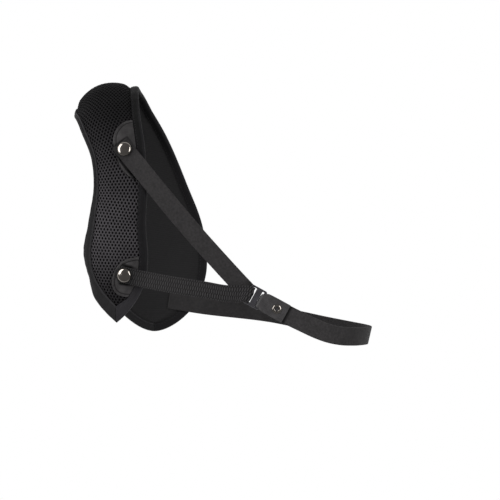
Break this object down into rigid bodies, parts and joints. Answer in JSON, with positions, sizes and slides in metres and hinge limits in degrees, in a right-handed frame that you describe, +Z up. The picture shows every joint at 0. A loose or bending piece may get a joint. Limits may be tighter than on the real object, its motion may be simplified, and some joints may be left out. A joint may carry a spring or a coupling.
{
  "type": "chest guard",
  "caption": "Padded mesh chest guard worn over one shoulder, taped at its edges and held by webbing, snap caps, a ring and an elastic strap that runs round the torso.",
  "frame": {"origin": "the shoulder seat: the middle of the panel's underside where it lies on top of the wearer's left shoulder", "axes": "+Z up, +Y the way the wearer faces (the chest), +X from the guarded shoulder across to the wearer's other side"},
  "size_m": [0.3292, 0.2153, 0.2891],
  "materials": {
    "mesh": "open knitted net over dark padding, dark grey",
    "binding_tape": "smooth matt folded tape, near black",
    "vinyl": "finely grained vinyl, dark grey",
    "cap_metal": "polished nickel",
    "smooth_webbing": "fine twill webbing, near black",
    "ribbed_webbing": "cross-ribbed webbing, near black",
    "ring_plastic": "moulded, glossy black",
    "eyelet_metal": "polished nickel",
    "elastic": "smooth woven elastic, dark grey"
  },
  "bodies": {
    "root": {"mesh_panel": "mesh", "neck_side_binding": "binding_tape", "arm_side_binding": "binding_tape", "upper_patch": "vinyl", "lower_patch": "vinyl", "upper_snap": "cap_metal", "lower_snap": "cap_metal", "upper_strap": "smooth_webbing", "lower_strap": "ribbed_webbing", "strap_ring": "ring_plastic", "ring_tab": "vinyl", "tab_eyelet": "eyelet_metal", "elastic_strap": "elastic"}
  },
  "joints": []
}
